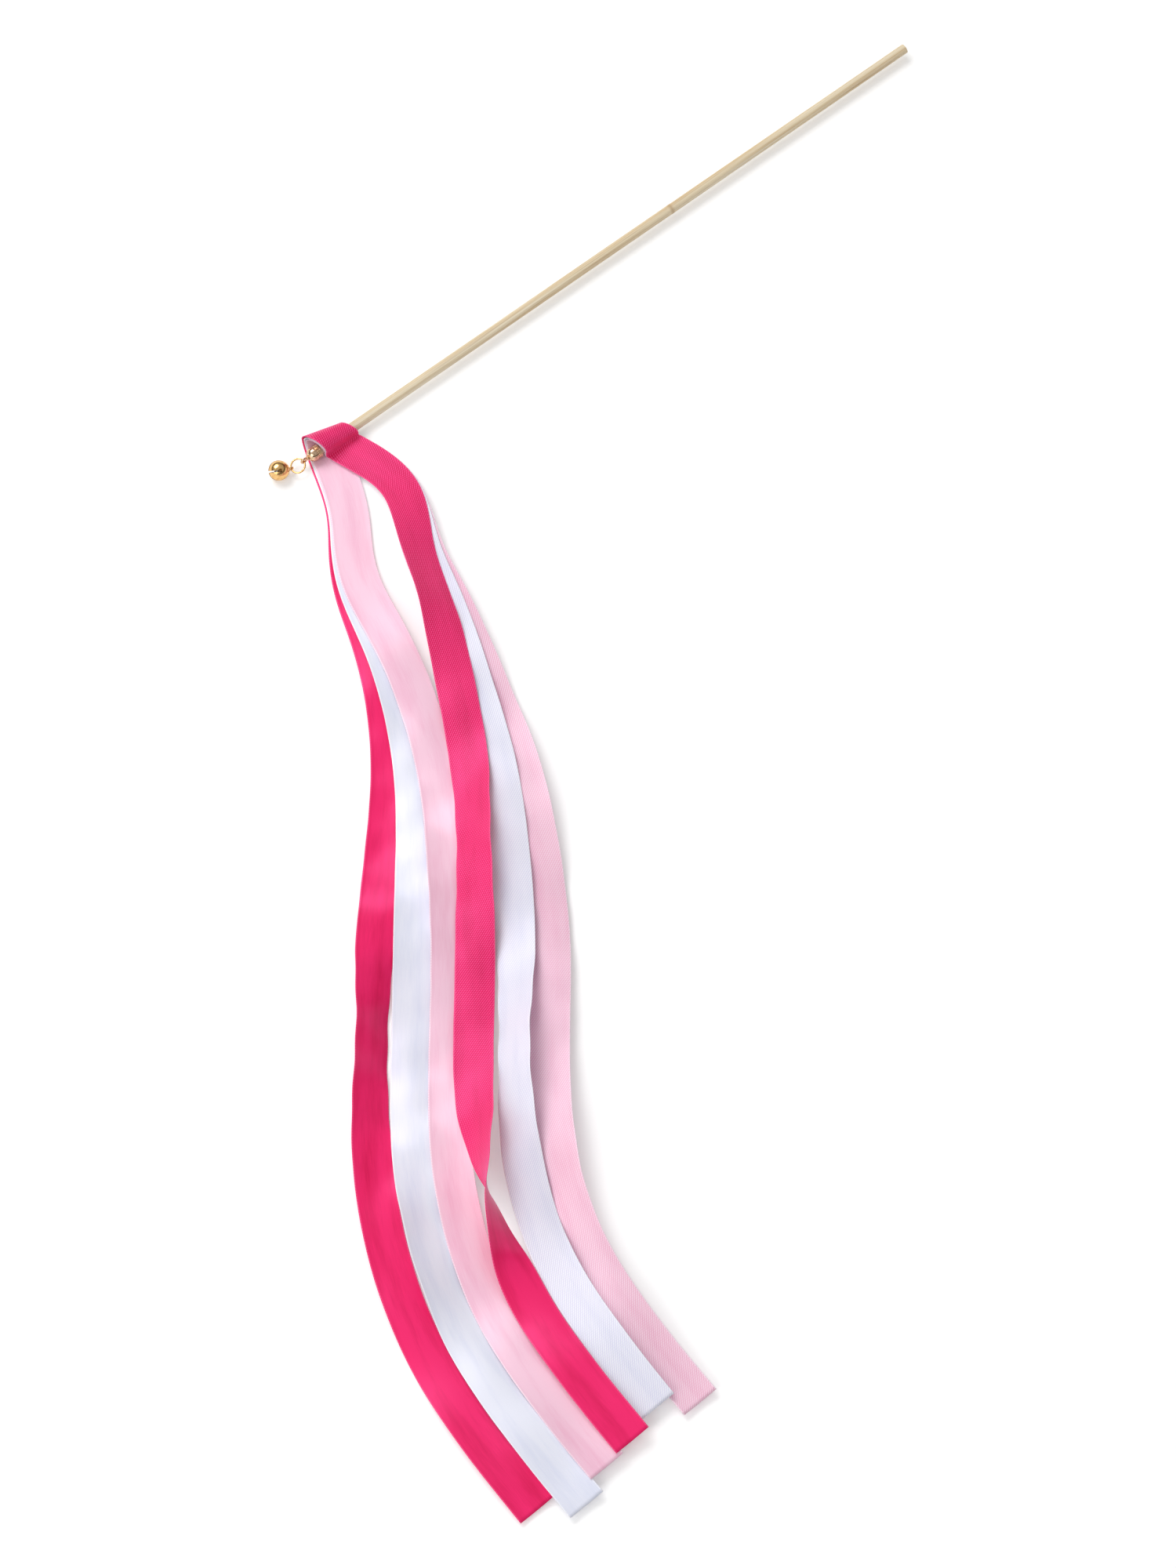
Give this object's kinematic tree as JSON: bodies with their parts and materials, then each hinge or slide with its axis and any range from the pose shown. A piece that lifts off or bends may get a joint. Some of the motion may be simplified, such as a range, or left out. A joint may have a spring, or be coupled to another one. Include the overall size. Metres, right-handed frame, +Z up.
{
  "type": "rhythmic ribbon wand",
  "caption": "Slim bamboo wand with satin ribbons folded round one end and a small jingle bell on a ring at its capped tip.",
  "frame": {"origin": "centre of the stick's handle end, the free end opposite the ribbons", "axes": "+X along the stick's axis, pointing out of the handle end; the stick runs towards -X to the cap; +Z up from the surface that the wand lies on; the ribbon tails lie on the -Y side"},
  "size_m": [0.4948, 0.4029, 0.0209],
  "materials": {
    "bamboo": "satin",
    "champagne_gold": "polished",
    "warm_gold": "polished",
    "pellet_steel": "satin",
    "clear_glue": "satin",
    "white_satin": "satin",
    "pale_pink_satin": "satin",
    "hot_pink_satin": "satin"
  },
  "bodies": {
    "wand": {"stick": "bamboo", "end_cap": "champagne_gold", "cap_glue": "clear_glue", "stick_glue": "clear_glue", "sleeve_glue": "clear_glue", "ribbon_white": "white_satin", "ribbon_pale_pink": "pale_pink_satin", "ribbon_hot_pink": "hot_pink_satin"},
    "ring": {"jump_ring": "warm_gold"},
    "bell": {"bell_shell": "warm_gold", "bell_loop": "warm_gold"},
    "pellet": {"bell_pellet": "pellet_steel"}
  },
  "joints": [
    {"name": "ring_swing", "type": "hinge", "parent": "wand", "child": "ring", "pos_m": [-0.30309, 0, 0], "axis": [0, 1, 0], "range_deg": [-80, 80]},
    {"name": "bell_swing", "type": "hinge", "parent": "ring", "child": "bell", "pos_m": [-0.30872, 0.00097, -0.00151], "axis": [0.3526, 0.9358, 0], "range_deg": [-70, 55]},
    {"name": "pellet_roll", "type": "hinge", "parent": "bell", "child": "pellet", "pos_m": [-0.31344, 0.00275, -0.00025], "axis": [0.9056, -0.3413, -0.2517], "continuous": true}
  ]
}
